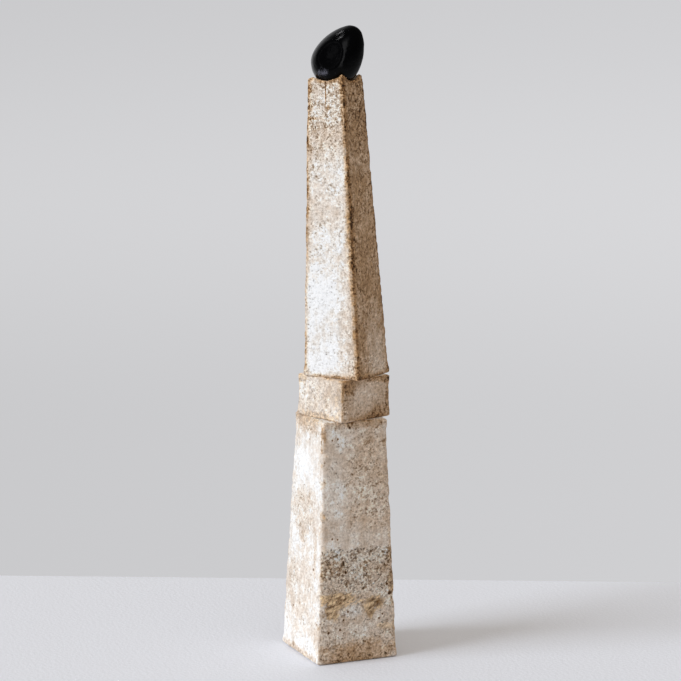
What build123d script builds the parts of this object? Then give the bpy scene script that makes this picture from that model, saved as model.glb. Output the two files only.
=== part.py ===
from build123d import *
from math import atan2, degrees, hypot, sqrt
import os

# A slender obelisk built as a stack of three square blocks of rough fired clay, each one turned on
# the block below, with an egg-shaped black pebble lying in a bowl sunk into the head of the shaft.
# Millimetres and degrees. +Z is up, the origin is the middle of the underside, and the base's four
# faces look along X and Y. Turns are counter-clockwise seen from above.

# Base: a tall block that narrows upwards
BASE_FOOT_WIDTH = 89.0
BASE_FOOT_DEPTH = 93.0
BASE_HEAD_WIDTH = 69.0
BASE_HEAD_DEPTH = 71.0
BASE_HEAD_SHIFT_X = -1.0
BASE_HEAD_SHIFT_Y = -1.0
BASE_HEIGHT = 249.0

# Collar: a low block between base and shaft
COLLAR_FOOT_SIDE = 66.0
COLLAR_HEAD_SIDE = 64.5
COLLAR_HEIGHT = 42.5
COLLAR_TURN = 18.5
COLLAR_SHIFT_X = 2.0
COLLAR_SHIFT_Y = -1.0

# Shaft: a long taper that leans to one side, its head cut on a slight slope
SHAFT_FOOT_SIDE = 63.5
SHAFT_HEAD_SIDE = 40.5
SHAFT_HEIGHT = 304.0
SHAFT_TURN = 36.0
SHAFT_FOOT_SHIFT_X = 5.0
SHAFT_FOOT_SHIFT_Y = -1.0
SHAFT_HEAD_SHIFT_X = -9.0
SHAFT_HEAD_SHIFT_Y = 4.0
SHAFT_HEAD_FALL_ACROSS = 2.5
SHAFT_HEAD_FALL_ALONG = 6.0

# Pebble: an egg that lies on its blunt end, its tip leaning towards PEBBLE_HEADING
PEBBLE_LENGTH = 66.0
PEBBLE_BLUNT_RADIUS = 24.5
PEBBLE_TIP_RADIUS = 13.0
PEBBLE_LEAN = 31.0
PEBBLE_HEADING = -24.0
PEBBLE_SHIFT_X = -0.3
PEBBLE_SHIFT_Y = -1.2
PEBBLE_SINK = 12.0

# Hollow: a shallow round dish in the pebble's flank. Its bearing turns about the egg's own axis, counted
# from the side that the tip leans to.
HOLLOW_WIDTH = 25.0
HOLLOW_RADIUS = 70.0
HOLLOW_RISE = 7.0
HOLLOW_BEARING = -113.0
HOLLOW_RIM_RADIUS = 4.0

# Bowl: fits the pebble below, opens out into a lip above
BOWL_CLEARANCE = 0.3
BOWL_LIP_GAP = 2.0
BOWL_LIP_RISE = 8.0

# Every arris is rubbed round. The shaft is drawn longer than it is, then its head is cut.
ARRIS_RADIUS = 1.5
SHAFT_OVERRUN_SHARE = 1.05


def section(width, depth, shift_x, shift_y, height, turn):
    """A level rectangle, turned about its own middle."""
    return Pos(shift_x, shift_y, height) * Rot(0, 0, turn) * Rectangle(width, depth)


def taper(foot, head):
    """The straight-sided block between two sections."""
    return loft([foot, head], ruled=True)


def worn(block):
    """The block with all its arrises rubbed round."""
    return fillet(block.edges(), ARRIS_RADIUS)


def base_block():
    foot = section(BASE_FOOT_WIDTH, BASE_FOOT_DEPTH, 0, 0, 0, 0)
    head = section(BASE_HEAD_WIDTH, BASE_HEAD_DEPTH, BASE_HEAD_SHIFT_X, BASE_HEAD_SHIFT_Y, BASE_HEIGHT, 0)
    return worn(taper(foot, head))


def collar_block(foot_height):
    head_height = foot_height + COLLAR_HEIGHT
    foot, head = (
        section(side, side, COLLAR_SHIFT_X, COLLAR_SHIFT_Y, height, COLLAR_TURN)
        for side, height in ((COLLAR_FOOT_SIDE, foot_height), (COLLAR_HEAD_SIDE, head_height))
    )
    return worn(taper(foot, head))


def shaft_section(foot_height, share):
    """The shaft's section at a share of its height: 0 is the foot, 1 the head."""

    def between(foot, head):
        return foot + (head - foot) * share

    side = between(SHAFT_FOOT_SIDE, SHAFT_HEAD_SIDE)
    shift_x = between(SHAFT_FOOT_SHIFT_X, SHAFT_HEAD_SHIFT_X)
    shift_y = between(SHAFT_FOOT_SHIFT_Y, SHAFT_HEAD_SHIFT_Y)
    return section(side, side, shift_x, shift_y, foot_height + SHAFT_HEIGHT * share, SHAFT_TURN)


def sloping_head(head_height):
    """The plane that the shaft's head is cut on, falling from its front corner along both faces."""
    fall_along = degrees(atan2(SHAFT_HEAD_FALL_ALONG, SHAFT_HEAD_SIDE))
    fall_across = degrees(atan2(SHAFT_HEAD_FALL_ACROSS, SHAFT_HEAD_SIDE))
    middle = Pos(SHAFT_HEAD_SHIFT_X, SHAFT_HEAD_SHIFT_Y, head_height)
    return Plane(middle * Rot(0, 0, SHAFT_TURN) * Rot(-fall_along, fall_across, 0))


def blunt_centre(head_height):
    """The centre of the pebble's blunt end, which lies sunk into the shaft's head."""
    height = head_height + PEBBLE_BLUNT_RADIUS - PEBBLE_SINK
    return Pos(SHAFT_HEAD_SHIFT_X + PEBBLE_SHIFT_X, SHAFT_HEAD_SHIFT_Y + PEBBLE_SHIFT_Y, height)


def lying(head_height):
    """The egg's place: its blunt end in the bowl, its tip leaning over."""
    return blunt_centre(head_height) * Rot(0, 0, PEBBLE_HEADING) * Rot(0, PEBBLE_LEAN, 0)


def egg(grown_by=0):
    """An upright egg about the middle of its blunt end, or with grown_by the hollow that it fits.

    Blunt end, flank and tip are tangent arcs. The flank's centre is level with the blunt centre,
    and its radius follows from touching both end circles.
    """
    blunt = PEBBLE_BLUNT_RADIUS
    tip = PEBBLE_TIP_RADIUS
    rise = PEBBLE_LENGTH - blunt - tip
    flank = (blunt**2 + rise**2 - tip**2) / (2 * (blunt - tip))
    flank_centre = Vector(blunt - flank, 0)
    towards_tip = (Vector(0, rise) - flank_centre).normalized()

    bottom = Vector(0, -blunt - grown_by)
    widest = Vector(blunt + grown_by, 0)
    tip_joint = flank_centre + towards_tip * (flank + grown_by)
    top = Vector(0, rise + tip + grown_by)
    outline = RadiusArc(bottom, widest, -(blunt + grown_by))
    outline += RadiusArc(widest, tip_joint, -(flank + grown_by))
    outline += RadiusArc(tip_joint, top, -(tip + grown_by))
    outline += Line(top, bottom)
    return revolve(Plane.XZ * make_face(outline), Axis.Z)


def pebble(head_height):
    """The egg with a dish worn into its flank, the dish's rim rounded over."""
    rim_depth = sqrt(PEBBLE_BLUNT_RADIUS**2 - (HOLLOW_WIDTH / 2) ** 2)
    centre_depth = rim_depth + sqrt(HOLLOW_RADIUS**2 - (HOLLOW_WIDTH / 2) ** 2)
    dish = Rot(0, 0, HOLLOW_BEARING) * Pos(centre_depth, 0, HOLLOW_RISE) * Sphere(HOLLOW_RADIUS)
    whole = egg()
    carved = whole - dish
    rim = new_edges(whole, dish, combined=carved)
    return lying(head_height) * fillet(rim, HOLLOW_RIM_RADIUS)


def bowl(head_height):
    """The hollow in the shaft's head: the egg's own shape, opening into a wider round lip."""
    above_head = PEBBLE_BLUNT_RADIUS - PEBBLE_SINK
    waterline = sqrt(PEBBLE_BLUNT_RADIUS**2 - above_head**2)
    lip_radius = hypot(waterline + BOWL_LIP_GAP, above_head + BOWL_LIP_RISE)
    lip = blunt_centre(head_height) * Pos(0, 0, BOWL_LIP_RISE) * Sphere(lip_radius)
    return lying(head_height) * egg(BOWL_CLEARANCE) + lip


def shaft(foot_height, head_height):
    """The leaning taper. The bowl breaks out through its faces and leaves four horned corners."""
    block = taper(shaft_section(foot_height, 0), shaft_section(foot_height, SHAFT_OVERRUN_SHARE))
    block = split(block, bisect_by=sloping_head(head_height), keep=Keep.BOTTOM)
    return worn(block) - bowl(head_height)


collar_foot = BASE_HEIGHT
shaft_foot = collar_foot + COLLAR_HEIGHT
shaft_head = shaft_foot + SHAFT_HEIGHT

pieces = {
    "base_block": base_block(),
    "collar_block": collar_block(collar_foot),
    "shaft": shaft(shaft_foot, shaft_head),
    "pebble": pebble(shaft_head),
}

os.makedirs("parts", exist_ok=True)
for name, shape in pieces.items():
    export_step(shape, f"parts/{name}.step")
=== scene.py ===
from math import cos, pi, radians, sin

import bmesh
import bpy
from mathutils import Matrix, Vector


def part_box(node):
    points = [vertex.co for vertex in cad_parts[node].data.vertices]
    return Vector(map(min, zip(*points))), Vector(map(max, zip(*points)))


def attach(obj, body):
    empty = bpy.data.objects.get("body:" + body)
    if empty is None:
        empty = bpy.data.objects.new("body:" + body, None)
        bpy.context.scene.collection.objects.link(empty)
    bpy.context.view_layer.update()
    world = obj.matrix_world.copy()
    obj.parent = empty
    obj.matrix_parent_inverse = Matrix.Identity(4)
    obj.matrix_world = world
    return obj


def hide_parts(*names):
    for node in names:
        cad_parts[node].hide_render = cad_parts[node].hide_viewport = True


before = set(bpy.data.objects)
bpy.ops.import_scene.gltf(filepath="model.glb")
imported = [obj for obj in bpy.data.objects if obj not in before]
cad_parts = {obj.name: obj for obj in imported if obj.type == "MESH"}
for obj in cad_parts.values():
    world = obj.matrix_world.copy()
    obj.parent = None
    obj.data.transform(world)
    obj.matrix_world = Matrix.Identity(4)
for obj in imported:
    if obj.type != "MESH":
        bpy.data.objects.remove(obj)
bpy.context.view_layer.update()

# Dresses the obelisk's four solids: three blocks of coarse clay under white slip, worn and stained, and the
# black pebble that lies in the head of the shaft. Metres and radians, in the solids' own frame.
MM = 0.001
UP = Vector((0, 0, 1))

# Camera: stands off to the left of the base's right face and looks slightly down
CAMERA_AZIMUTH = radians(-24.3)
CAMERA_DISTANCE = 2.3753
CAMERA_HEIGHT = 0.7099
CAMERA_PITCH = radians(9.18)
CAMERA_PAN = radians(-0.04)
CAMERA_ROLL = radians(0.57)
CAMERA_LENS = 124.59

# Light: a low soft sun from the left under a warm sky, before a pale backdrop
SUN_ELEVATION = radians(27)
SUN_SPREAD = radians(30)
SUN_STRENGTH = 2.2
SUN_COLOUR = (0.925, 0.975, 1.03)
HORIZON_LIGHT = (0.205, 0.187, 0.16)
ZENITH_LIGHT = (0.78, 0.72, 0.645)
BACKDROP = (0.64, 0.64, 0.655)

# What only glossy surfaces see: the dark all round, a pale panel on the left and a pale floor
DARK_GLOSS = 0.08
PANEL_GLOSS = 1.4
FLOOR_GLOSS = 0.5

# Lights that only they see: which way each one lies, as shares to the camera's right, onwards from it and up,
# the axis that it is longest along, half its length, half its width and its strength
RIGHTWARDS = Vector((cos(CAMERA_AZIMUTH), sin(CAMERA_AZIMUTH), 0))
ONWARDS = UP.cross(RIGHTWARDS)
GLOSSY_LIGHTS = {
    "back strip": ((-0.32, 0.24, 0.91), RIGHTWARDS, radians(5), radians(1.2), 45.0),
    "front strip": ((-0.23, -0.23, 0.94), RIGHTWARDS, radians(4), radians(1.5), 45.0),
    "tall card": ((0.27, -0.9, 0.35), UP, radians(32), radians(11), 3.0),
    "soft glow": ((-0.62, -0.71, 0.34), UP, radians(10), radians(6), 0.7),
}

# Floor: a pale slab that ends behind the base, square to the camera
FLOOR_BEHIND = 0.282
FLOOR_BEFORE = 3.2
FLOOR_ASIDE = 3.0
FLOOR_THICKNESS = 0.03
FLOOR_COLOUR = (0.79, 0.82, 0.9)
FLOOR_ROUGHNESS = 0.9
FLOOR_SHEEN = 0.1
FLOOR_RELIEF = 0.1 * MM

# Turn of each block about +Z, as the solids stand
BASE_TURN = radians(0)
COLLAR_TURN = radians(18.5)
SHAFT_TURN = radians(36)

# Fineness of each piece's skin, which keeps it under 200,000 triangles, and how near two corners are one
BASE_SKIN = 1.05 * MM
COLLAR_SKIN = 0.6 * MM
SHAFT_SKIN = 1.0 * MM
PEBBLE_SKIN = 0.5 * MM
WELD = 0.001 * MM

# Wear: how proud an arris stands where it is rubbed most, the most that a square corner is drawn out, and how
# near to a block's foot or head its arrises begin to count as the end's own, and fully do
FULLY_PROUD = 1.3 * MM
SQUARE_MOST = 0.6 * MM
END_BEGINS = 12 * MM
END_FULL = 3 * MM

# The four upright faces of a block in its own turned axes. Left and right are those the camera sees.
FACES = {"left": (-1, 0, 0), "right": (0, -1, 0), "back": (0, 1, 0), "far": (1, 0, 0)}


def paint(red, green, blue):
    """A colour as it looks on a screen, 0 to 255, in the linear values that shaders take."""
    def linear(level):
        share = level / 255
        return share / 12.92 if share <= 0.04045 else ((share + 0.055) / 1.055) ** 2.4

    return (linear(red), linear(green), linear(blue), 1.0)


# Clay and slip, from bare and scorched to thick white
SLIP_STEPS = (
    (0.0, paint(84, 60, 41)),
    (0.2, paint(141, 106, 73)),
    (0.4, paint(182, 149, 115)),
    (0.6, paint(209, 187, 166)),
    (0.8, paint(229, 219, 209)),
    (0.9, paint(238, 235, 232)),
    (1.0, paint(247, 248, 250)),
)
TOASTED_TINT = (1.0, 0.93, 0.8, 1.0)
PALEST_SLIP = (0.95, 0.95, 0.96)
PIT_CLAY = paint(66, 48, 34)
CLAY_SHEEN = 0.25
CLAY_RELIEF = 0.8 * MM

# Ochre brushed over the slip, from its dark strands to its thin ones, in strokes that slant
OCHRE_STEPS = (
    (0.0, paint(108, 76, 43)),
    (1.0, paint(243, 213, 175)),
)
STROKE_SLANT = radians(33)
STROKE_STRETCH = (0.4, 1, 1)

# Pebble: black with faint grey flecks, and at its foot, where it lies in the bowl, a pale painted reflection
# of the lit bowl rim
PEBBLE_STEPS = (
    (0.0, paint(4, 4, 5)),
    (1.0, paint(24, 24, 25)),
)
PEBBLE_SHEEN = 0.12
PEBBLE_RELIEF = 0.008 * MM
PAINTED_REFLECTION_COLOUR = paint(128, 128, 142)
PAINTED_REFLECTION_CENTRE = (-28.2 * MM, -9.9 * MM, 599.0 * MM)
PAINTED_REFLECTION_HALF_SIZE = (9 * MM, 9 * MM, 4 * MM)


class Wire:
    """One value in a node tree. Sums of wires and plain numbers lay the maths nodes."""

    def __init__(self, bench, socket):
        self.bench = bench
        self.socket = socket
        self.is_vector = socket.type in ("VECTOR", "RGBA")

    def maths(self, operation, *others, clamp=False):
        """Lays a maths node, for a number or a vector, whichever this wire carries."""
        inputs = dict(enumerate((self, *others)))
        if self.is_vector:
            return self.bench.lay("ShaderNodeVectorMath", inputs, operation=operation)
        return self.bench.lay("ShaderNodeMath", inputs, operation=operation, use_clamp=clamp)

    def __add__(self, other):
        return self.maths("ADD", other)

    __radd__ = __add__

    def __sub__(self, other):
        return self.maths("SUBTRACT", other)

    def __rsub__(self, other):
        return -self + other

    def __neg__(self):
        return self * -1.0

    def __mul__(self, other):
        if self.is_vector and not getattr(other, "is_vector", False):
            return self.bench.lay("ShaderNodeVectorMath", {0: self, "Scale": other}, operation="SCALE")
        return self.maths("MULTIPLY", other)

    __rmul__ = __mul__

    def __truediv__(self, other):
        return self.maths("DIVIDE", other)

    def __rtruediv__(self, other):
        return self.bench.lay("ShaderNodeMath", {0: other, 1: self}, operation="DIVIDE")

    def __abs__(self):
        return self.maths("ABSOLUTE")

    def clamped(self):
        return self.maths("ADD", 0.0, clamp=True)

    def dot(self, other):
        return self.bench.lay("ShaderNodeVectorMath", {0: self, 1: other}, 1, operation="DOT_PRODUCT")

    def length(self):
        return self.bench.lay("ShaderNodeVectorMath", {0: self}, 1, operation="LENGTH")

    def height(self):
        return self.dot(tuple(UP))

    def step(self, low, high, start=0.0, end=1.0):
        """Eases from start, at low, to end, at high."""
        inputs = {0: self, 1: low, 2: high, 3: start, 4: end}
        return self.bench.lay("ShaderNodeMapRange", inputs, interpolation_type="SMOOTHSTEP")


class Bench:
    """Lays nodes into a shader or geometry tree. An input is a wire or a plain value."""

    def __init__(self, tree):
        self.tree = tree

    def place(self, kind, inputs=None, **settings):
        """Adds a node, with its settings and inputs, and returns the node."""
        node = self.tree.nodes.new(kind)
        for name, value in settings.items():
            setattr(node, name, value)
        for key, value in (inputs or {}).items():
            self.feed(self.socket(node.inputs, key), value)
        return node

    def lay(self, kind, inputs=None, output=0, **settings):
        """Adds a node and returns one of its outputs as a wire."""
        return Wire(self, self.socket(self.place(kind, inputs, **settings).outputs, output))

    @staticmethod
    def socket(sockets, key):
        """A socket by its place or name. Of those that share a name it is the one in use."""
        if isinstance(key, int):
            return sockets[key]
        return next(s for s in sockets if s.name == key and s.enabled)

    def feed(self, socket, value):
        """Links a wire to a socket, or sets the socket's plain value."""
        if isinstance(value, Wire):
            self.tree.links.new(value.socket, socket)
        else:
            socket.default_value = value

    def receive(self, **kinds):
        """Makes the group's inputs and returns them as wires, by name."""
        for name, kind in kinds.items():
            self.tree.interface.new_socket(name=name, in_out="INPUT", socket_type=kind)
        node = self.tree.nodes.new("NodeGroupInput")
        return {name: Wire(self, node.outputs[name]) for name in kinds}

    def give(self, **wires):
        """Makes the group's outputs and feeds them."""
        for name, (kind, _) in wires.items():
            self.tree.interface.new_socket(name=name, in_out="OUTPUT", socket_type=kind)
        node = self.tree.nodes.new("NodeGroupOutput")
        for name, (_, wire) in wires.items():
            self.feed(node.inputs[name], wire)

    def upward(self, amount):
        """A vector that points up by that amount."""
        return self.lay("ShaderNodeCombineXYZ", {"Z": amount})

    def noise(self, where, size, detail=2.0, roughness=0.5, seed=0.0):
        """Cloudy noise about 0 with lumps of that size, two thirds of it within a half either way."""
        inputs = {"Vector": where, "W": seed, "Scale": 1.0 / size, "Detail": detail, "Roughness": roughness}
        return self.lay("ShaderNodeTexNoise", inputs, 0, noise_dimensions="4D") * 6.0 - 3.0

    def cells(self, where, size, seed=0.0):
        """Scattered points a size apart: the distance to the nearest one, and a random share for it."""
        aside = self.lay("ShaderNodeCombineXYZ", {0: seed, 1: seed, 2: seed})
        node = self.place("ShaderNodeTexVoronoi", {"Vector": where + aside, "Scale": 1.0 / size})
        share = Wire(self, node.outputs["Color"]).dot((1, 0, 0))
        return Wire(self, node.outputs["Distance"]) * size, share

    def blend(self, share, first, second, kind="FLOAT", **settings):
        """Goes from first to second, two numbers or with RGBA two colours, as share goes from 0 to 1."""
        slot, output = {"FLOAT": (2, 0), "RGBA": (6, 2)}[kind]
        inputs = {0: share, slot: first, slot + 1: second}
        return self.lay("ShaderNodeMix", inputs, output, data_type=kind, **settings)

    def ramp(self, share, steps):
        """The colour at that share of the way through the steps."""
        node = self.place("ShaderNodeValToRGB", {0: share})
        elements = node.color_ramp.elements
        while len(elements) < len(steps):
            elements.new(1.0)
        for element, (position, colour) in zip(elements, steps):
            element.position = position
            element.color = colour
        return Wire(self, node.outputs[0])

    def group(self, tree, inputs, *outputs):
        """Places a node group and returns the outputs asked for, as wires."""
        node = self.tree.nodes.new("ShaderNodeGroup")
        node.node_tree = tree
        for name, value in inputs.items():
            self.feed(node.inputs[name], value)
        return [Wire(self, node.outputs[name]) for name in outputs]


NUMBER = "NodeSocketFloat"
VECTOR = "NodeSocketVector"
COLOUR = "NodeSocketColor"


def turned(bench, vector, turn):
    """A vector in the axes of a block that stands at that turn."""
    inputs = {0: vector, "Axis": tuple(UP), "Angle": turn * -1.0}
    return bench.lay("ShaderNodeVectorRotate", inputs, rotation_type="AXIS_ANGLE")


def weathering_tree():
    """Wears a smooth block: arrises rubbed and chipped, faces that sway under a coat of slip, grain and pits.

    It keeps what the finish needs on the mesh: worn, pit, coarse and own_normal.
    """
    bench = Bench(bpy.data.node_groups.new("Weathering", "GeometryNodeTree"))
    given = bench.receive(**{
        "Geometry": "NodeSocketGeometry",
        "Turn": NUMBER,
        "Arris Steps": "NodeSocketInt",
        "Arris Rounding": NUMBER,
        "Chip Depth": NUMBER,
        "Foot": NUMBER,
        "Foot Rounding": NUMBER,
        "Head": NUMBER,
        "Head Rounding": NUMBER,
        "Sway Depth": NUMBER,
        "Sway Size": NUMBER,
        "Coat": NUMBER,
        "Grain Depth": NUMBER,
        "Grain Size": NUMBER,
        "Pit Depth": NUMBER,
        "Pit Spacing": NUMBER,
        "Coarse Face": VECTOR,
        "Coarse Top": NUMBER,
        "Coarse Gain": NUMBER,
        "Seed": NUMBER,
        "Material": "NodeSocketMaterial",
    })
    seed = given["Seed"]
    position = bench.lay("GeometryNodeInputPosition")
    normal = bench.lay("GeometryNodeInputNormal")
    rubbed = bench.lay(
        "GeometryNodeBlurAttribute",
        {"Value": position, "Iterations": given["Arris Steps"]},
        "Value",
        data_type="FLOAT_VECTOR",
    )
    own_normal = turned(bench, normal, given["Turn"])
    height = position.height()

    proud = (position - rubbed).dot(normal)
    worn = (proud / FULLY_PROUD).clamped()
    off_floor = height.step(0.3 * MM, 2 * MM)
    near_foot = (height - given["Foot"]).step(END_BEGINS, END_FULL)
    near_head = (given["Head"] - height).step(END_BEGINS, END_FULL)

    # One face is coarse up to a ragged seam, and less so further down
    on_coarse = own_normal.dot(given["Coarse Face"]).step(0.5, 0.8)
    below_top = height + bench.noise(position, 6 * MM, 3, 0.6, seed) * (1.2 * MM) - given["Coarse Top"]
    seam = on_coarse * abs(below_top).step(2 * MM, MM)
    coarse = on_coarse * below_top.step(0.8 * MM, -0.8 * MM) * below_top.step(-70 * MM, -30 * MM, 0.5, 1.0)
    gain = coarse * given["Coarse Gain"] + 1.0

    # Faces sway and are grainy, pits open in them, and arrises are chipped, less so at foot and head
    sway = bench.noise(position, given["Sway Size"], 2, 0.5, seed) * given["Sway Depth"]
    grain = bench.noise(position, given["Grain Size"], 3, 0.6, seed) * given["Grain Depth"] * gain
    crumb = bench.noise(position, 2 * MM, 2, 0.6, seed)
    distance, share = bench.cells(position + normal * (crumb * (0.4 * MM)), given["Pit Spacing"], seed)
    reach = (share - 0.7 + coarse * 0.4).maths("MAXIMUM", 0.0) * (2.4 * MM)
    pit = (1.0 - distance / (reach + 0.01 * MM)).step(0.0, 0.6)
    pit = pit.maths("MAXIMUM", (crumb - 1.0 + coarse * 0.4 + seam * 0.5).step(0.0, 0.4)) * (1.0 - worn)
    chip = bench.noise(position, 6 * MM, 3, 0.65, seed).step(-0.3, 1.0) * worn * given["Chip Depth"]
    chip = chip * (near_foot + near_head).step(0.0, 1.0, 1.0, 0.3)
    lift = sway + grain - pit * given["Pit Depth"] - chip

    # Upright faces carry the coat. Level ones only sink, so that the blocks still stand face to face.
    upright = abs(normal.height()).step(0.5, 0.2)
    lift = bench.blend(upright, abs(lift) * -0.4, lift + given["Coat"]) * off_floor

    # Arrises are rounded in patches. A rounding below 0 draws them out square.
    patchy = bench.noise(position, 20 * MM, 2, 0.5, seed).step(-0.8, 0.8, 0.4, 1.4)
    rounding = bench.blend(near_foot, given["Arris Rounding"] * patchy, given["Foot Rounding"])
    rounding = bench.blend(near_head, rounding, given["Head Rounding"])

    geometry = given["Geometry"]
    for name, kind, value in (
        ("worn", "FLOAT", worn),
        ("pit", "FLOAT", pit),
        ("coarse", "FLOAT", coarse),
        ("own_normal", "FLOAT_VECTOR", own_normal),
    ):
        inputs = {"Geometry": geometry, "Name": name, "Value": value}
        geometry = bench.lay("GeometryNodeStoreNamedAttribute", inputs, data_type=kind, domain="POINT")
    shift = rubbed - position
    square = shift * (SQUARE_MOST / shift.length().maths("MAXIMUM", SQUARE_MOST))
    offset = shift * rounding.maths("MAXIMUM", 0.0) + square * rounding.maths("MINIMUM", 0.0) + normal * lift
    geometry = bench.lay("GeometryNodeSetPosition", {"Geometry": geometry, "Offset": offset})
    geometry = bench.lay("GeometryNodeSetShadeSmooth", {"Geometry": geometry})
    geometry = bench.lay("GeometryNodeRealizeInstances", {"Geometry": geometry})
    geometry = bench.lay("GeometryNodeSetMaterial", {"Geometry": geometry, "Material": given["Material"]})
    bench.give(Geometry=("NodeSocketGeometry", geometry))
    return bench.tree


def weathered(node, name, voxel, wear, material):
    """The piece that stands for a solid: an even skin over it, worn by the weathering tree."""
    solid = bmesh.new()
    solid.from_mesh(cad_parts[node].data)
    bmesh.ops.remove_doubles(solid, verts=solid.verts, dist=WELD)
    mesh = bpy.data.meshes.new(name + "_smooth")
    solid.to_mesh(mesh)
    solid.free()
    blank = bpy.data.objects.new(name + "_smooth", mesh)
    bpy.context.scene.collection.objects.link(blank)

    skin = blank.modifiers.new("even skin", "REMESH")
    skin.mode = "VOXEL"
    skin.voxel_size = voxel
    skin.use_smooth_shade = True
    wearing = blank.modifiers.new("weathering", "NODES")
    wearing.node_group = WEATHERING
    values = {**wear, "Material": material}
    for item in WEATHERING.interface.items_tree:
        if item.in_out == "INPUT" and item.name in values:
            wearing[item.identifier] = values[item.name]

    graph = bpy.context.evaluated_depsgraph_get()
    finished = bpy.data.meshes.new_from_object(blank.evaluated_get(graph))
    bpy.data.objects.remove(blank)
    piece = bpy.data.objects.new(name, finished)
    bpy.context.scene.collection.objects.link(piece)
    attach(piece, "root")
    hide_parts(node)


def mark_group():
    """A ragged oval patch on one face. It changes how thick the slip lies, its flecks and its stain."""
    bench = Bench(bpy.data.node_groups.new("Mark", "ShaderNodeTree"))
    given = bench.receive(**{
        "Slip": NUMBER,
        "Fleck": NUMBER,
        "Stain": NUMBER,
        "Place": VECTOR,
        "Facing": VECTOR,
        "Noise": NUMBER,
        "Face": VECTOR,
        "Centre": VECTOR,
        "Half Size": VECTOR,
        "Ragged": NUMBER,
        "Soft": NUMBER,
        "Slip Change": NUMBER,
        "Fleck Change": NUMBER,
        "Stain Change": NUMBER,
    })
    inside = 1.0 - ((given["Place"] - given["Centre"]) / given["Half Size"]).length()
    patch = (inside + given["Noise"] * given["Ragged"]).step(given["Soft"] * -0.5, given["Soft"])
    patch = patch * given["Facing"].dot(given["Face"]).step(0.4, 0.7)
    bench.give(
        Slip=(NUMBER, given["Slip"] + patch * given["Slip Change"]),
        Fleck=(NUMBER, given["Fleck"] + patch * given["Fleck Change"]),
        Stain=(NUMBER, given["Stain"] + patch * given["Stain Change"]),
    )
    return bench.tree


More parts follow.
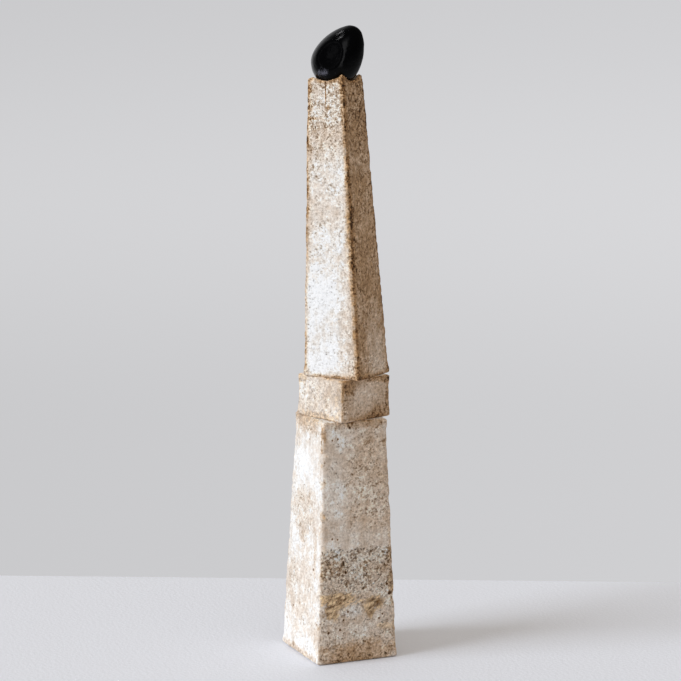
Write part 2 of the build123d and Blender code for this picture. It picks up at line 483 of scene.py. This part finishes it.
def slip_group():
    """The finish of slipped clay: its colour, roughness and fine relief.

    Slip runs from 0, bare clay, to 1, thick and white. Fleck says how much of it is rubbed through,
    stain how much is brushed over with ochre, in strands, and toast how much of an arris is rubbed through.
    """
    bench = Bench(bpy.data.node_groups.new("Slip over clay", "ShaderNodeTree"))
    given = bench.receive(**{
        "Place": VECTOR,
        "Slip": NUMBER,
        "Fleck": NUMBER,
        "Stain": NUMBER,
        "Strand": NUMBER,
        "Toast": NUMBER,
        "Worn": NUMBER,
        "Pit": NUMBER,
        "Coarse": NUMBER,
    })
    place = given["Place"]
    coarse = given["Coarse"]

    # Lumps from the size of a hand down to single grains, streaks drawn upwards, and cracks
    broad = bench.noise(place, 40 * MM, 3, 0.5, 1.0)
    blotch = bench.noise(place, 10 * MM, 3, 0.6, 2.0)
    patch = bench.noise(place, 4.6 * MM, 2, 0.6, 3.0)
    fine = bench.noise(place, 2.2 * MM, 2, 0.75, 4.0)
    crumb = bench.noise(place, 1.9 * MM, 2, 0.6, 5.0)
    crawl = bench.noise(place, 4.6 * MM, 1, 0.5, 6.0)
    craze = bench.noise(place, 4.6 * MM, 1, 0.5, 16.0)
    drawn = bench.lay("ShaderNodeMapping", {"Vector": place, "Scale": (1, 1, 0.18)})
    streak = bench.noise(drawn, 4.5 * MM, 3, 0.6, 7.0)
    lines = (0.2 - abs(crawl)).step(0.0, 0.2)
    crackle = (0.2 - abs(craze)).step(0.0, 0.2) - lines

    # How far the slip is rubbed off arrises, flecked, stained, rubbed through and grainy
    edge = (given["Worn"].step(0.0, 0.7) * (blotch * 0.6 + patch * 0.3 + given["Toast"])).clamped()
    fleck = given["Fleck"] + broad * 0.1 + blotch * (coarse * 0.1 + 0.3) + edge * 0.2 + coarse * 0.3
    some = fleck.maths("MAXIMUM", 0.0)
    stain = (given["Stain"] * (1.0 - given["Strand"] * 0.3)).clamped()
    deep = (fleck * 0.9 + lines * 0.3 - fine * 0.4 - patch * 0.4 - 0.85).maths("MAXIMUM", 0.0)
    deep = deep * (1.0 - stain * 0.8)
    bite = some + coarse * 0.4
    grain = fine * (bite * 0.4 + 0.14) + patch * (bite * 0.16 + 0.03) + crackle * bite * 0.16
    grain = grain + streak * (0.18 - some * 0.36).maths("MAXIMUM", 0.02)
    grain = grain * (1.0 - stain * 0.4)

    # Colour: thin slip is brown and thick slip white, with ochre over it
    slip = given["Slip"] + broad * 0.09 + blotch * 0.06 + patch * 0.03 + streak * 0.03 + grain * 0.08
    slip = slip - edge * given["Slip"] * 0.44 - deep * 0.35
    colour = bench.ramp(slip, SLIP_STEPS)
    ochre = bench.ramp(given["Strand"].step(-0.8, 0.8), OCHRE_STEPS)
    colour = bench.blend(stain, colour, ochre, "RGBA")
    warm = (edge * 0.8 + fleck.step(0.5, 1.1) * 0.25).clamped()
    colour = bench.blend(warm, colour, TOASTED_TINT, "RGBA", blend_type="MULTIPLY")
    # Partly painted light and shade: the colour is made lighter on the grain's lumps and darker in deep
    # flecks, as relief under a raking light would look, besides tone that differs at random
    tone_and_painted_relief_shade = (grain * 0.8 + broad * 0.05 + blotch * 0.05 - deep * 0.15 + 1.05).maths("MAXIMUM", 0.25)
    colour = (colour * tone_and_painted_relief_shade).maths("MINIMUM", PALEST_SLIP)

    # Dark specks, crumbs and pits
    distance, share = bench.cells(place + bench.upward(patch * (0.4 * MM)), 5.5 * MM, 5.0)
    speck = (distance - (share - 0.8) * (3.6 * MM)).step(0.3 * MM, -0.3 * MM)
    crumbs = (crumb + coarse * 0.6 - 1.1).step(0.0, 0.4)
    dark = (speck * 0.35 + crumbs * 0.4 + given["Pit"].step(0.1, 0.7) * 0.8).clamped()
    dark = dark * slip.step(0.2, 0.7, 0.3, 0.8)
    colour = bench.blend(dark, colour, PIT_CLAY, "RGBA")

    relief = blotch * 0.15 + grain * 0.8 - deep * 0.4 - crumbs * 0.5 - speck * 0.4
    roughness = fine * 0.03 + 0.88
    bench.give(Colour=(COLOUR, colour), Roughness=(NUMBER, roughness), Relief=(NUMBER, relief))
    return bench.tree


def on_face(face, through, across, up):
    """A place or size in a block's own turned axes, from millimetres through, across and up a face."""
    looks_along_x = FACES[face][0] != 0
    x, y = (through, across) if looks_along_x else (across, through)
    return (x * MM, y * MM, up * MM)


def mark(face, across, up, half_wide, half_tall, slip=0.0, fleck=0.0, ragged=0.45, soft=0.5, stain=0.0):
    """A patch on a face, placed in millimetres, and what it adds to slip, fleck and stain."""
    any_depth = 1000.0
    return {
        "Face": FACES[face],
        "Centre": on_face(face, 0.0, across, up),
        "Half Size": on_face(face, any_depth, half_wide, half_tall),
        "Ragged": ragged,
        "Soft": soft,
        "Slip Change": slip,
        "Fleck Change": fleck,
        "Stain Change": stain,
    }


def brushed(face, across, up, half_wide, half_tall, stain):
    """A dab of ochre on a face, with a brushed rim."""
    return mark(face, across, up, half_wide, half_tall, ragged=0.5, soft=0.45, stain=stain)


def hole(face, across, up, half_wide=1.1):
    """A small dark pit on a face."""
    return mark(face, across, up, half_wide * 0.9, half_wide, slip=-0.8)


def new_material(name):
    """An empty material, and a bench for its nodes."""
    material = bpy.data.materials.new(name)
    material.use_nodes = True
    material.node_tree.nodes.clear()
    return material, Bench(material.node_tree)


def finish_surface(bench, relief, depth, inputs):
    """A Principled surface with its fine relief as bump."""
    bump = bench.place("ShaderNodeBump", {"Height": relief})
    bump.inputs["Distance"].default_value = depth
    bump.inputs["Strength"].default_value = 1.0
    surface = bench.place("ShaderNodeBsdfPrincipled", inputs)
    bench.tree.links.new(bump.outputs[0], surface.inputs["Normal"])
    output = bench.place("ShaderNodeOutputMaterial")
    bench.tree.links.new(surface.outputs[0], output.inputs["Surface"])
    return surface


def slipped_clay(name, turn, toast, level, faces, marks):
    """White slip over coarse clay. Level and faces give slip and fleck for what lies level and each face."""
    material, bench = new_material(name)
    coordinates = bench.lay("ShaderNodeTexCoord", None, "Object")
    place = bench.lay("ShaderNodeMapping", {"Vector": coordinates, "Rotation": (0, 0, -turn)})
    facing = bench.lay("ShaderNodeAttribute", None, "Vector", attribute_name="own_normal")
    worn = bench.lay("ShaderNodeAttribute", None, "Fac", attribute_name="worn")
    pit = bench.lay("ShaderNodeAttribute", None, "Fac", attribute_name="pit")
    coarse = bench.lay("ShaderNodeAttribute", None, "Fac", attribute_name="coarse")
    slip, fleck = level
    for face, (face_slip, face_fleck) in faces.items():
        turned_to = facing.dot(FACES[face]).step(0.4, 0.7)
        slip = turned_to * (face_slip - level[0]) + slip
        fleck = turned_to * (face_fleck - level[1]) + fleck
    swept = bench.lay("ShaderNodeMapping", {"Vector": place, "Rotation": (0, STROKE_SLANT, 0)})
    swept = bench.lay("ShaderNodeMapping", {"Vector": swept, "Scale": STROKE_STRETCH})
    ragged = bench.noise(place, 9 * MM, 5, 0.85, 7.0)
    strand = bench.noise(swept, 4.5 * MM, 4, 0.7, 8.0)
    stain = 0.0
    for values in marks:
        inputs = {**values, "Slip": slip, "Fleck": fleck, "Stain": stain, "Place": place, "Facing": facing}
        inputs["Noise"] = strand if values["Stain Change"] else ragged
        slip, fleck, stain = bench.group(MARK, inputs, "Slip", "Fleck", "Stain")
    inputs = {
        "Place": place,
        "Slip": slip,
        "Fleck": fleck,
        "Stain": stain,
        "Strand": strand,
        "Toast": toast,
        "Worn": worn,
        "Pit": pit,
        "Coarse": coarse,
    }
    colour, roughness, relief = bench.group(SLIP, inputs, "Colour", "Roughness", "Relief")
    surface = finish_surface(bench, relief, CLAY_RELIEF, {"Base Color": colour, "Roughness": roughness})
    surface.inputs["Specular IOR Level"].default_value = CLAY_SHEEN
    return material


def black_stone():
    """A black pebble rubbed to a soft gloss, with faint grey specks and, at its foot, a pale, rougher patch
    that is a painted reflection of the lit bowl rim.
    """
    material, bench = new_material("black stone")
    place = bench.lay("ShaderNodeTexCoord", None, "Object")
    cloud = bench.noise(place, 12 * MM, 3, 0.55, 8.0)
    fleck = bench.noise(place, 0.9 * MM, 2, 0.6, 9.0)
    colour = bench.ramp(fleck.step(0.6, 1.8), PEBBLE_STEPS)
    # Painted reflection: a pale patch at the pebble's foot stands for the lit bowl rim that the stone would
    # mirror
    off_painted_reflection = (place - PAINTED_REFLECTION_CENTRE) / PAINTED_REFLECTION_HALF_SIZE
    painted_reflection = (1.0 - off_painted_reflection.length() + fleck * 0.6 + cloud * 0.8).step(0.0, 0.9)
    colour = bench.blend(painted_reflection * 0.6, colour, PAINTED_REFLECTION_COLOUR, "RGBA")
    roughness = cloud * 0.03 + fleck * 0.02 + painted_reflection * 0.4 + 0.19
    surface = finish_surface(bench, fleck, PEBBLE_RELIEF, {"Base Color": colour, "Roughness": roughness})
    surface.inputs["Specular IOR Level"].default_value = PEBBLE_SHEEN
    return material


def set_camera():
    """The camera, turned about the object, then aimed by its pitch, pan and roll."""
    lens = bpy.data.cameras.new("camera")
    lens.lens = CAMERA_LENS
    camera = bpy.data.objects.new("camera", lens)
    bpy.context.scene.collection.objects.link(camera)
    place = Matrix.Rotation(CAMERA_AZIMUTH, 4, "Z") @ Matrix.Translation((0, -CAMERA_DISTANCE, CAMERA_HEIGHT))
    look = Matrix.Rotation(pi / 2 - CAMERA_PITCH, 4, "X") @ Matrix.Rotation(-CAMERA_PAN, 4, "Y")
    camera.matrix_world = place @ look @ Matrix.Rotation(CAMERA_ROLL, 4, "Z")
    bpy.context.scene.camera = camera


def set_sun():
    """The low sun. Glossy surfaces don't see it."""
    light = bpy.data.lights.new("low sun", "SUN")
    light.energy = SUN_STRENGTH
    light.angle = SUN_SPREAD
    light.color = SUN_COLOUR
    sun = bpy.data.objects.new("low sun", light)
    sunward = Vector((-cos(SUN_ELEVATION), 0, sin(SUN_ELEVATION)))
    sun.rotation_euler = sunward.to_track_quat("Z", "Y").to_euler()
    sun.visible_glossy = False
    bpy.context.scene.collection.objects.link(sun)


def window(direction, towards, along, half_long, half_short):
    """1 within a soft-edged rectangle of directions about towards, longest along that axis, 0 outside it."""
    middle = towards.normalized()
    across = middle.cross(along).normalized()
    share = direction.dot(tuple(middle)).step(0.0, 0.2)
    for axis, half in ((across.cross(middle), half_long), (across, half_short)):
        share = share * abs(direction.dot(tuple(axis))).step(sin(half) * 1.4, sin(half) * 0.6)
    return share


def set_world():
    """A warm sky lights the object. The camera sees a pale backdrop with painted light on it, and glossy
    surfaces their own lights.
    """
    world = bpy.data.worlds.new("surroundings")
    world.use_nodes = True
    world.node_tree.nodes.clear()
    bench = Bench(world.node_tree)
    paths = bench.place("ShaderNodeLightPath")
    seen = Wire(bench, paths.outputs["Is Camera Ray"])
    seen = seen.maths("MAXIMUM", Wire(bench, paths.outputs["Is Transmission Ray"]))
    glossy = Wire(bench, paths.outputs["Is Glossy Ray"])
    direction = bench.lay("ShaderNodeTexCoord", None, "Generated")

    to_the_right = direction.dot(tuple(RIGHTWARDS))
    panel = direction.dot(tuple(ONWARDS)).step(0.2, 0.7) * to_the_right.step(0.3, -0.6)
    below = direction.height().step(0.1, -0.7)
    gloss = panel * PANEL_GLOSS + below * FLOOR_GLOSS + DARK_GLOSS
    for (right, onwards, up), along, half_long, half_short, strength in GLOSSY_LIGHTS.values():
        towards = RIGHTWARDS * right + ONWARDS * onwards + UP * up
        gloss = gloss + window(direction, towards, along, half_long, half_short) * strength

    sky = bench.blend(direction.height().clamped(), (*HORIZON_LIGHT, 1.0), (*ZENITH_LIGHT, 1.0), "RGBA")
    ambient = bench.lay("ShaderNodeBackground", {"Color": sky})
    reflected = bench.lay("ShaderNodeBackground", {"Color": (*BACKDROP, 1.0), "Strength": gloss})
    # Painted light on the backdrop: brighter towards the camera's right and in a band just below level,
    # darker to the left and above and below that band
    level = abs(direction.height() + 0.1).step(0.0, 0.1, 1.04, 0.95) + to_the_right * 0.2
    backdrop = bench.lay("ShaderNodeBackground", {"Color": (*BACKDROP, 1.0), "Strength": level})
    shown = bench.lay("ShaderNodeMixShader", {0: glossy, 1: ambient, 2: reflected})
    shown = bench.lay("ShaderNodeMixShader", {0: seen, 1: shown, 2: backdrop})
    bench.place("ShaderNodeOutputWorld", {"Surface": shown})
    bpy.context.scene.world = world


def floor():
    """The pale slab under the base, square to the camera."""
    material, bench = new_material("pale floor")
    place = bench.lay("ShaderNodeTexCoord", None, "Object")
    grain = bench.noise(place, 4 * MM, 3)
    surface = finish_surface(bench, grain, FLOOR_RELIEF, {"Base Color": (*FLOOR_COLOUR, 1.0)})
    surface.inputs["Roughness"].default_value = FLOOR_ROUGHNESS
    surface.inputs["Specular IOR Level"].default_value = FLOOR_SHEEN

    slab = bmesh.new()
    bmesh.ops.create_cube(slab, size=1.0)
    depth = FLOOR_BEFORE + FLOOR_BEHIND
    bmesh.ops.scale(slab, verts=slab.verts, vec=(2 * FLOOR_ASIDE, depth, FLOOR_THICKNESS))
    middle = Vector((0, FLOOR_BEHIND - depth / 2, -FLOOR_THICKNESS / 2))
    bmesh.ops.translate(slab, verts=slab.verts, vec=middle)
    bmesh.ops.rotate(slab, verts=slab.verts, matrix=Matrix.Rotation(CAMERA_AZIMUTH, 3, "Z"))
    mesh = bpy.data.meshes.new("floor")
    slab.to_mesh(mesh)
    slab.free()
    mesh.materials.append(material)
    piece = bpy.data.objects.new("floor", mesh)
    piece.visible_glossy = False
    bpy.context.scene.collection.objects.link(piece)


WEATHERING = weathering_tree()
MARK = mark_group()
SLIP = slip_group()

# Heights that no piece reaches, for an end that has no arrises to keep and a face that is nowhere coarse
BELOW_ALL = -1.0
ABOVE_ALL = 1.0

BLOCK_WEAR = {
    "Arris Steps": 40,
    "Arris Rounding": 0.45,
    "Chip Depth": 1.1 * MM,
    "Foot Rounding": -0.9,
    "Head Rounding": -0.9,
    "Coat": 0.9 * MM,
    "Sway Depth": 0.25 * MM,
    "Sway Size": 32 * MM,
    "Grain Depth": 0.2 * MM,
    "Grain Size": 3 * MM,
    "Pit Depth": 1.3 * MM,
    "Pit Spacing": 6 * MM,
    "Coarse Face": FACES["right"],
    "Coarse Top": BELOW_ALL,
    "Coarse Gain": 0.0,
}

collar_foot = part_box("collar_block")[0].z
shaft_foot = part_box("shaft")[0].z
base_wear = {
    **BLOCK_WEAR,
    "Turn": BASE_TURN,
    "Foot": 0.0,
    "Foot Rounding": 0.1,
    "Head": collar_foot,
    "Coarse Top": 117 * MM,
    "Coarse Gain": 1.2,
    "Seed": 1.0,
}
collar_wear = {
    **BLOCK_WEAR,
    "Turn": COLLAR_TURN,
    "Foot": collar_foot,
    "Head": shaft_foot,
    "Seed": 2.0,
}
shaft_wear = {
    **BLOCK_WEAR,
    "Turn": SHAFT_TURN,
    "Foot": shaft_foot,
    "Head": ABOVE_ALL,
    "Arris Steps": 49,
    "Arris Rounding": 0.35,
    "Seed": 3.0,
}
pebble_wear = {
    **BLOCK_WEAR,
    "Turn": 0.0,
    "Foot": BELOW_ALL,
    "Head": ABOVE_ALL,
    "Arris Steps": 30,
    "Arris Rounding": 1.0,
    "Chip Depth": 0.0,
    "Coat": 0.0,
    "Sway Depth": 0.2 * MM,
    "Sway Size": 10 * MM,
    "Grain Depth": 0.0,
    "Pit Depth": 0.0,
    "Seed": 4.0,
}

base_clay = slipped_clay(
    "slipped clay, base",
    turn=BASE_TURN,
    toast=0.0,
    level=(0.8, 0.7),
    faces={"left": (0.865, 0.25), "right": (0.715, 0.45), "back": (0.81, 0.4), "far": (0.72, 0.45)},
    marks=[
        # Left face, from the head down
        mark("left", 6, 243, 40, 11, -0.2, 0.4),
        brushed("left", 4, 247, 38, 6, 0.35),
        mark("left", -34, 232, 2.5, 16, -0.25, 0.4, ragged=0.9),
        hole("left", -5, 227),
        brushed("left", 26, 222, 8, 12, 0.4),
        mark("left", 0, 205, 24, 28, 0.07, -0.15),
        mark("left", 4, 150, 30, 30, -0.12, 0.4),
        mark("left", -30, 112, 4, 24, -0.15, 0.2),
        hole("left", -27, 96, 1.6),
        mark("left", 22, 80, 14, 20, -0.05, 0.3),
        mark("left", 0, 60, 44, 60, -0.09, 0.05),
        hole("left", 20, 47, 1.3),
        mark("left", -40, 28, 5, 14, -0.12, 0.2),
        mark("left", 5, 4, 46, 5, -0.15, 0.3),
        # Right face above the seam
        mark("right", 0, 247, 38, 6, -0.15, 0.4),
        hole("right", -8, 243, 1.3),
        mark("right", -35, 236, 1.5, 12, -0.2, 0.3, ragged=0.9),
        hole("right", -21, 232, 1.3),
        hole("right", -27, 231),
        mark("right", 16, 185, 30, 60, -0.07, 0.3),
        mark("right", -26, 185, 14, 60, 0.055, -0.1),
        mark("right", -8, 130, 36, 13, 0.07, -0.1),
        hole("right", -28, 130),
        hole("right", -22, 129, 1.3),
        # Right face, coarse below the seam
        hole("right", -30, 111),
        mark("right", 0, 108, 44, 9, 0.0, 0.1, ragged=0.7),
        mark("right", -27, 100, 16, 9, -0.1, 0.05, ragged=0.7),
        mark("right", 14, 96, 14, 9, -0.07, 0.1, ragged=0.7),
        hole("right", -13, 94, 1.6),
        mark("right", 38, 90, 5, 26, -0.1, 0.2, ragged=0.7),
        brushed("right", 38, 80, 4, 9, 0.7),
        hole("right", 33, 78, 1.5),
        hole("right", 36, 68, 1.8),
        # Right face, two ochre dabs with a pale patch between them
        brushed("right", -22, 66, 21, 9, 1.15),
        brushed("right", -30, 55, 9, 11, 1.2),
        brushed("right", 20, 60, 12, 8, 1.1),
        brushed("right", 14, 51, 6, 8, 1.1),
        mark("right", -6, 54, 12, 9, 0.16, -0.1),
        # Right face, foot
        hole("right", -11, 53),
        hole("right", -24, 52),
        hole("right", 28, 47),
        hole("right", -16, 45),
        hole("right", 24, 43),
        mark("right", 0, 40, 42, 12, -0.01, -0.15),
        hole("right", -20, 35, 1.6),
        brushed("right", 31, 34, 8, 4, 0.7),
        hole("right", -33, 33, 1.3),
        mark("right", 0, 8, 48, 16, -0.26, 0.1),
        # The two faces that look away
        mark("far", -12, 200, 22, 30, -0.05, 0.3),
        mark("far", 8, 90, 26, 30, -0.1, 0.3),
        brushed("far", 14, 66, 16, 9, 0.7),
        mark("back", 12, 170, 20, 36, -0.05, 0.3),
        brushed("back", -10, 60, 24, 12, 0.8),
        brushed("back", -20, 50, 9, 10, 0.9),
    ],
)
collar_clay = slipped_clay(
    "slipped clay, collar",
    turn=COLLAR_TURN,
    toast=0.4,
    level=(0.7, 0.6),
    faces={"left": (0.77, 0.55), "right": (0.55, 0.55), "back": (0.66, 0.6), "far": (0.68, 0.5)},
    marks=[
        # Left face, washed with ochre
        brushed("left", 0, 270, 44, 40, 0.22),
        brushed("left", -30, 270, 6, 26, 0.3),
        brushed("left", -2, 252, 36, 4, 0.4),
        brushed("left", 26, 288, 10, 5, 0.5),
        # Right face, pale in its middle and toasted round it
        mark("right", -2, 272, 18, 14, 0.06, -0.15),
        mark("right", -30, 270, 8, 26, -0.03, 0.1),
        mark("right", -22, 284, 9, 8, -0.15, 0.2),
        mark("right", 6, 251, 34, 4, -0.1, 0.1),
        mark("right", 22, 256, 14, 7, -0.1, 0.2),
        mark("right", 18, 289, 18, 4, -0.2, 0.3),
        mark("right", 32, 270, 4, 22, -0.12, 0.2),
        # The two faces that look away
        mark("back", 6, 262, 24, 9, -0.2, 0.2),
        mark("far", -8, 275, 20, 12, 0.1, -0.1),
    ],
)
shaft_clay = slipped_clay(
    "slipped clay, shaft",
    turn=SHAFT_TURN,
    toast=0.7,
    level=(0.7, 0.6),
    faces={"left": (0.8, 0.5), "right": (0.46, 0.75), "back": (0.7, 0.6), "far": (0.62, 0.6)},
    marks=[
        # Left face: white below, a straight-edged strip beside the front arris, flecked above
        mark("left", 8, 344, 27, 84, 0.15, -0.15),
        mark("left", -45, 350, 30.5, 250, -0.03, ragged=0.08, soft=0.08),
        mark("left", 6, 570, 32, 64, -0.04, 0.45),
        mark("left", 25, 297, 6, 10, -0.1, 0.3),
        mark("left", -32, 302, 7, 16, -0.05, 0.3),
        # Left face, toasted along both arrises
        mark("left", 27, 440, 6, 170, -0.06, 0.3),
        mark("left", -20, 490, 4, 26, -0.12, 0.3, ragged=0.9),
        mark("left", -23, 445, 4.5, 28, -0.14, 0.3, ragged=0.9),
        mark("left", -27, 398, 4.5, 28, -0.12, 0.3, ragged=0.9),
        brushed("left", -22, 450, 4, 40, 0.4),
        # Left face, chips and a crack below the bowl
        mark("left", 26, 581, 2.5, 4, -0.25, 0.4, ragged=0.9),
        mark("left", 24, 564, 4, 3.5, -0.2, 0.4, ragged=0.9),
        mark("left", 22, 553, 8, 1.8, -0.25, 0.4, ragged=0.9),
        mark("left", 4, 565, 2, 4, -0.25, 0.4, ragged=0.9),
        mark("left", 7, 580, 0.8, 17, -0.6, ragged=0.3),
        # Right face, brown above and paler at its foot
        mark("right", 0, 570, 30, 60, -0.02, 0.3),
        mark("right", 0, 440, 30, 60, -0.06),
        mark("right", -24, 430, 6, 60, -0.08, 0.2),
        mark("right", 10, 322, 22, 44, 0.14, -0.2),
        # The two faces that look away
        mark("back", -6, 360, 20, 60, 0.15, -0.2),
        mark("far", 6, 480, 18, 60, 0.1, -0.1),
    ],
)
stone = black_stone()

weathered("base_block", "base", BASE_SKIN, base_wear, base_clay)
weathered("collar_block", "collar", COLLAR_SKIN, collar_wear, collar_clay)
weathered("shaft", "tapering_shaft", SHAFT_SKIN, shaft_wear, shaft_clay)
weathered("pebble", "black_pebble", PEBBLE_SKIN, pebble_wear, stone)

set_camera()
set_sun()
set_world()
floor()

view_settings = bpy.context.scene.view_settings
view_settings.view_transform = "Standard"
